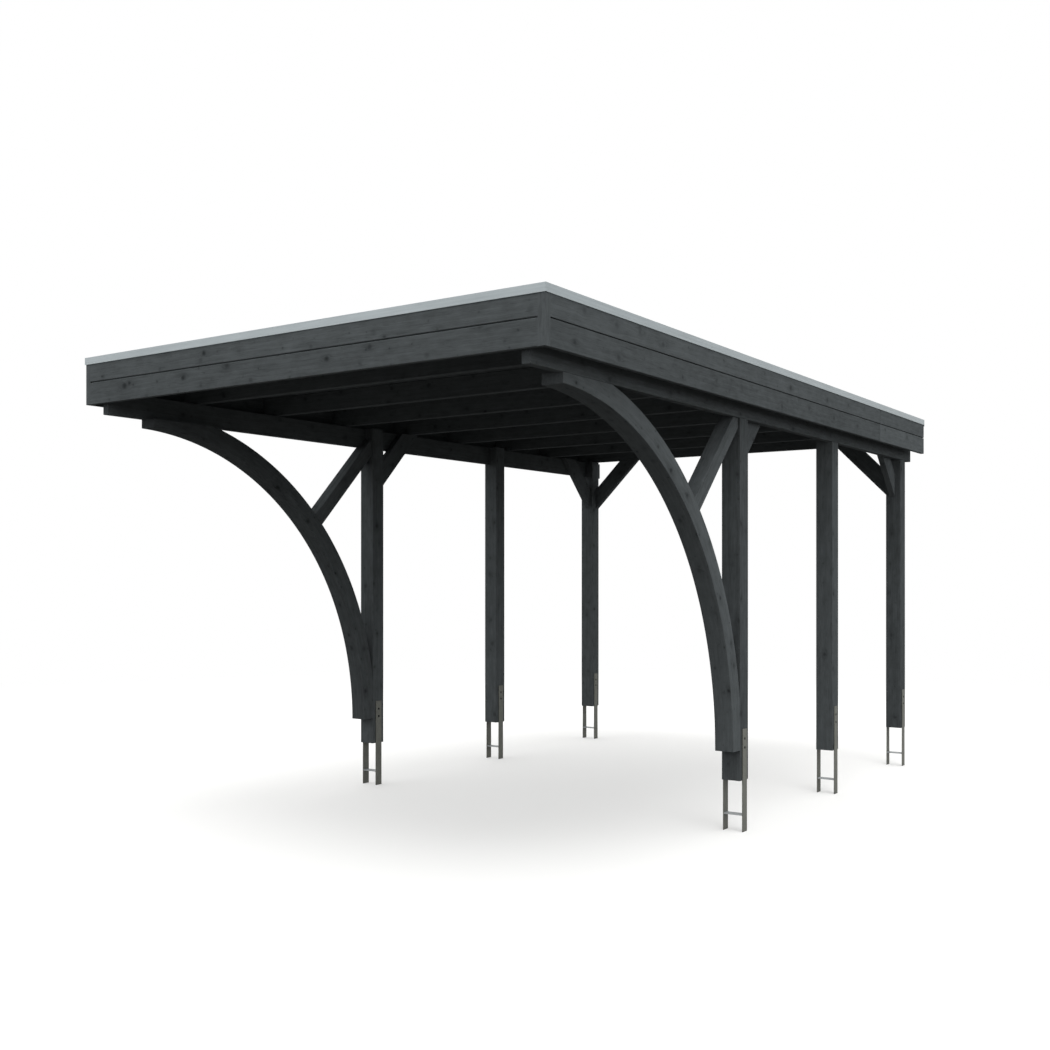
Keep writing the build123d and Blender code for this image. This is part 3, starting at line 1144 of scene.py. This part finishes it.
@dataclass
class Fascia:
    """Two rows of boards round three sides, butted to corner blocks; the side rows are in two lengths."""

    name: str = "stained_softwood_fascia"
    rows: tuple[BoardRow, ...] = (
        BoardRow("lower", seed=4.3, front_tone=0.44, side_tone=0.35, contrast=-0.67),
        BoardRow("upper", seed=5.9, front_tone=0.54, side_tone=0.59, contrast=0.0))
    corner: StainedTimber = StainedTimber(
        "stained_softwood_fascia_corner", Grain.UPRIGHT, seed=6.7, tone=0.55)
    front_knottiness: float = 1.0
    side_knottiness: float = 0.6
    joint_y: float = 1.687
    joint_mm: float = 1.2
    # Longer than any board, so that a row has one board on each side of its joint
    board_pitch: float = 10.0
    edge_mm: float = 2.5
    edge_steps: int = 2
    gap_mm: float = 5.0
    tongue_mm: float = 12.0
    tongue_setback_mm: float = 9.0
    tongue_thickness_mm: float = 8.0
    tongue_clearance_mm: float = 0.5

    def board(self, node: str, from_y: float, to_y: float) -> Piece:
        """Saw one board of a side row, with its tongue or groove, and ease the edges of its outer face.

        Args:
            node: The row's node.
            from_y: The board's front end.
            to_y: The board's rear end.

        Returns:
            The board.
        """
        low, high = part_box(node)
        is_lower = node.endswith("lower")
        top = high.z - self.tongue_mm * MM if is_lower else high.z
        outer, inner, inwards = (high.x, low.x, -MM) if low.x > 0 else (low.x, high.x, MM)
        piece = stock("fascia_board", (low.x, from_y, low.z), (high.x, to_y, top))
        with editing_faces(piece, lambda middle: abs(middle.x - outer) < TOUCH):
            bpy.ops.mesh.bevel(offset=self.edge_mm * MM, segments=self.edge_steps, affect="EDGES")
        room = 0 if is_lower else self.tongue_clearance_mm
        front = outer + inwards * (self.tongue_setback_mm - room)
        back = outer + inwards * (self.tongue_setback_mm + self.tongue_thickness_mm + room)
        cut_across(piece, (front, back))
        tongue_rise_mm = self.tongue_mm - self.gap_mm
        if is_lower:
            self.raise_faces(piece, top, front, inner, self.gap_mm)
            self.raise_faces(piece, top + self.gap_mm * MM, front, back, tongue_rise_mm)
        else:
            self.raise_faces(piece, low.z, front, back, tongue_rise_mm + room)
        return piece

    def raise_faces(self, piece: Piece, height: float, from_x: float, to_x: float, rise_mm: float) -> None:
        """Pull level faces of a board between two lines straight up, as a tongue or the roof of a groove.

        Args:
            piece: The board.
            height: The faces' height.
            from_x: The first line.
            to_x: The second line.
            rise_mm: How far the faces go up.
        """
        near, far = sorted((from_x, to_x))
        with editing_faces(piece, lambda middle: abs(middle.z - height) < TOUCH and near < middle.x < far):
            bpy.ops.mesh.extrude_region_move(TRANSFORM_OT_translate={"value": (0, 0, rise_mm * MM)})

    def row(self, node: str, material: Material) -> None:
        """Set the two boards of a side row end to end.

        Args:
            node: The row's node.
            material: The row's finish.
        """
        low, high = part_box(node)
        half_gap = self.joint_mm * MM / 2
        boards = [self.board(node, from_y, to_y) for from_y, to_y in (
            (low.y, self.joint_y - half_gap), (self.joint_y + half_gap, high.y))]
        finish(joined(boards, f"{node}_boards"), material, "stained_timber", node)

    def build(self) -> None:
        """Board up the sides and stain each row, cut from different trees, and the corner blocks."""
        for row in self.rows:
            front = StainedTimber(f"{self.name}_front_{row.name}", Grain.ACROSS, row.seed,
                                  tone=row.front_tone, knottiness=self.front_knottiness)
            dress(f"fascia_front_{row.name}", front.material())
            for number, side in enumerate(SIDES):
                boards = BoardedTimber(f"{self.name}_{side}_{row.name}", Grain.LENGTHWISE, row.seed + number,
                                       tone=row.side_tone, knottiness=self.side_knottiness, axis="Y",
                                       start=self.joint_y, pitch=self.board_pitch, contrast=row.contrast)
                self.row(f"fascia_{side}_{row.name}", boards.material())
        block = self.corner.material()
        for side in SIDES:
            dress(f"corner_block_{side}", block)


@dataclass
class EdgeTrim:
    """The folded aluminium edge on top of the fascia with its end caps, and the drip strip at the rear."""

    # The side lengths are drawn darker than the front one, as painted shade
    tones: tuple[tuple[str, float], ...] = (
        ("trim_front", 0.6), ("trim_left", 0.4), ("trim_right", 0.4), ("eaves_strip", 0.5))
    capped: tuple[str, ...] = ("trim_left", "trim_right")
    cap_mm: float = 2.0
    cap_lip_mm: float = 4.0
    cap_edge_mm: float = 0.5
    cap_edge_steps: int = 2

    def end_cap(self, node: str) -> Piece:
        """Press a cap for the open rear end of a side length.

        Args:
            node: The side length's node.

        Returns:
            The cap.
        """
        low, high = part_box(node)
        depth = self.cap_mm * MM
        outside = high.y + depth
        piece = stock(f"{node}_end_cap", (low.x, high.y, low.z), (high.x, outside, high.z))
        with editing_faces(piece, lambda middle: abs(middle.y - outside) < TOUCH):
            bpy.ops.mesh.bevel(offset=self.cap_edge_mm * MM, segments=self.cap_edge_steps, affect="EDGES")
        with editing_faces(piece, lambda middle: abs(middle.y - outside) < TOUCH):
            bpy.ops.mesh.inset(thickness=self.cap_lip_mm * MM, depth=-depth / 2)
        return piece

    def build(self) -> None:
        """Finish each length, the side lengths painted darker than the front as shade, and cap the open
        ends.
        """
        for node, tone in self.tones:
            material = MillAluminium(f"mill_aluminium_extruded_{node}", tone=tone).material()
            dress(node, material)
            if node in self.capped:
                finish(self.end_cap(node), material, "trim_aluminium")


@dataclass
class RoofSkin:
    """Matched boards below and lapped roofing felt above."""

    name: str = "stained_softwood_roof_boards"
    seed: float = 7.9
    board_count: int = 28
    roll_count: int = 3
    lap_mm: float = 90.0
    ramp_mm: float = 12.0
    felt_mm: float = 3.0
    felt_edge_mm: float = 0.8
    felt_edge_steps: int = 2
    edge_cover_mm: float = 20.0

    def roll(self, number: int, width: float) -> Piece:
        """Lay one roll of felt along the roof, its first edge lapped over the roll before.

        Args:
            number: The roll's number, from the left.
            width: The roll's width without its lap.

        Returns:
            The roll.
        """
        low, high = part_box("roof_membrane")
        cover = self.edge_cover_mm * MM
        felt = self.felt_mm * MM
        ramp = self.ramp_mm * MM
        start = low.x + cover + number * width
        lap = self.lap_mm * MM if number else 0.0
        piece = stock(f"felt_roll_{number + 1}", (start - lap, low.y + cover, high.z),
                      (start + width, high.y, high.z))
        if number:
            cut_across(piece, (start, start + ramp))
            for vertex in piece.data.vertices:
                vertex.select = vertex.co.x < start + ramp / 2
            bpy.ops.object.mode_set(mode="EDIT")
            bpy.ops.transform.translate(value=(0, 0, felt))
            bpy.ops.object.mode_set(mode="OBJECT")
        modify(piece, "SOLIDIFY", thickness=felt, offset=-1)
        modify(piece, "BEVEL", width=self.felt_edge_mm * MM, segments=self.felt_edge_steps)
        return piece

    def build(self) -> None:
        """Stain the boards and lay the felt."""
        low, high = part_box("roof_deck")
        boards = BoardedTimber(self.name, Grain.LENGTHWISE, self.seed, start=low.x,
                               pitch=(high.x - low.x) / self.board_count)
        dress("roof_deck", boards.material())
        low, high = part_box("roof_membrane")
        cover = self.edge_cover_mm * MM
        width = (high.x - low.x - 2 * cover) / self.roll_count
        rolls = joined([self.roll(number, width) for number in range(self.roll_count)], "roofing_felt_rolls")
        first_lap = low.x + cover + width - self.lap_mm * MM
        felt = RoofingFelt(laps_x=tuple(first_lap + number * width for number in range(self.roll_count - 1)))
        finish(rolls, felt.material(), "roof_felt", "roof_membrane")


@dataclass
class Studio:
    """A pale floor under soft light from all round, a broad lamp at the front right and a white surround."""

    floor_size: float = 160.0
    floor_seen: str = "#f1f1ef"
    floor_bounce: str = "#646361"
    dome_strength: float = 1.3
    lamp_strength: float = 1.0
    lamp_width: float = math.radians(30)
    lamp_turn: Triple = (math.radians(22), 0.0, math.radians(40))
    fade_from: float = 4.5
    fade_to: float = 11.0
    shadow_lift: float = 0.35

    def seen(self, tree: Tree) -> Source:
        """Tell the rays that see the surround from those that carry its light.

        Args:
            tree: A node tree.

        Returns:
            One for rays from the camera, from gloss and through glass, zero for the rest.
        """
        rays = add_node(tree, "LightPath").outputs
        shown = rays["Is Camera Ray"]
        for kind in ("Is Glossy Ray", "Is Transmission Ray"):
            shown = add_node(tree, "Math", {0: shown, 1: rays[kind]}, operation="MAXIMUM")
        return shown

    def surround(self) -> None:
        """Light the object from all round and show white behind it."""
        world = bpy.data.worlds.new("studio_surround")
        bpy.context.scene.world = world
        world.use_nodes = True
        tree = world.node_tree
        tree.nodes.clear()
        dome = add_node(tree, "Background", {"Color": WHITE, "Strength": self.dome_strength})
        white = add_node(tree, "Background", {"Color": WHITE, "Strength": 1.0})
        mix = add_node(tree, "MixShader", {0: self.seen(tree), 1: dome, 2: white})
        add_node(tree, "OutputWorld", {"Surface": mix})

    def floor(self) -> None:
        """Lay the floor, which takes the shadow and fades into the white surround."""
        half = self.floor_size / 2
        plane = stock("studio_floor", (-half, -half, 0), (half, half, 0))
        material, tree = new_material("painted_studio_floor")
        seen = self.seen(tree)
        colour = layered(tree, self.floor_bounce, (seen, self.floor_seen))
        paint = add_node(tree, "BsdfDiffuse", {"Color": colour})
        white = add_node(tree, "Emission", {"Color": WHITE, "Strength": 1.0})
        place = add_node(tree, "TexCoord").outputs["Object"]
        reach = add_node(tree, "VectorMath", {0: place}, operation="LENGTH").outputs["Value"]
        fade = add_node(tree, "MapRange", {"Value": reach, "From Min": self.fade_from,
                                           "From Max": self.fade_to, "To Min": self.shadow_lift},
                        interpolation_type="SMOOTHSTEP")
        amount = add_node(tree, "Math", {0: fade, 1: seen}, operation="MULTIPLY")
        mix = add_node(tree, "MixShader", {0: amount, 1: paint, 2: white})
        add_node(tree, "OutputMaterial", {"Surface": mix})
        plane.data.materials.append(material)

    def lamp(self) -> None:
        """Hang one broad lamp at the front right."""
        light = bpy.data.lights.new("broad_lamp", "SUN")
        light.energy = self.lamp_strength
        light.angle = self.lamp_width
        holder = bpy.data.objects.new("broad_lamp", light)
        holder.rotation_euler = self.lamp_turn
        bpy.context.scene.collection.objects.link(holder)

    def build(self) -> None:
        """Set the studio up."""
        self.surround()
        self.floor()
        self.lamp()
        bpy.context.scene.view_settings.view_transform = "Standard"


@dataclass
class Viewpoint:
    """The photograph's level camera, at the front right of the carport."""

    place: Triple = (4.381, -7.116, 1.4812)
    turn: Triple = (math.radians(90), 0.0, math.radians(35.068))
    picture_px: float = 1050.0
    focal_px: float = 1218.09
    centre_px: tuple[float, float] = (500.08, 577.65)
    sensor_mm: float = 36.0

    def build(self) -> None:
        """Make the camera and look through it."""
        lens = bpy.data.cameras.new("photo_camera")
        lens.sensor_width = self.sensor_mm
        lens.lens = self.focal_px / self.picture_px * self.sensor_mm
        centre_x, centre_y = self.centre_px
        lens.shift_x = 0.5 - centre_x / self.picture_px
        lens.shift_y = centre_y / self.picture_px - 0.5
        holder = bpy.data.objects.new("photo_camera", lens)
        holder.location = self.place
        holder.rotation_euler = self.turn
        bpy.context.scene.collection.objects.link(holder)
        bpy.context.scene.camera = holder


def main() -> None:
    """Build and dress the carport, then set up the studio."""
    logging.basicConfig(level=logging.INFO, format="%(name)s %(message)s")
    assemblies = (Posts, Anchors, Purlins, Arches, Braces, Rafters, Fascia, EdgeTrim, RoofSkin)
    for assembly in (*assemblies, Studio, Viewpoint):
        LOG.info("Building %s", assembly.__name__)
        assembly().build()


if __name__ == "__main__":
    main()
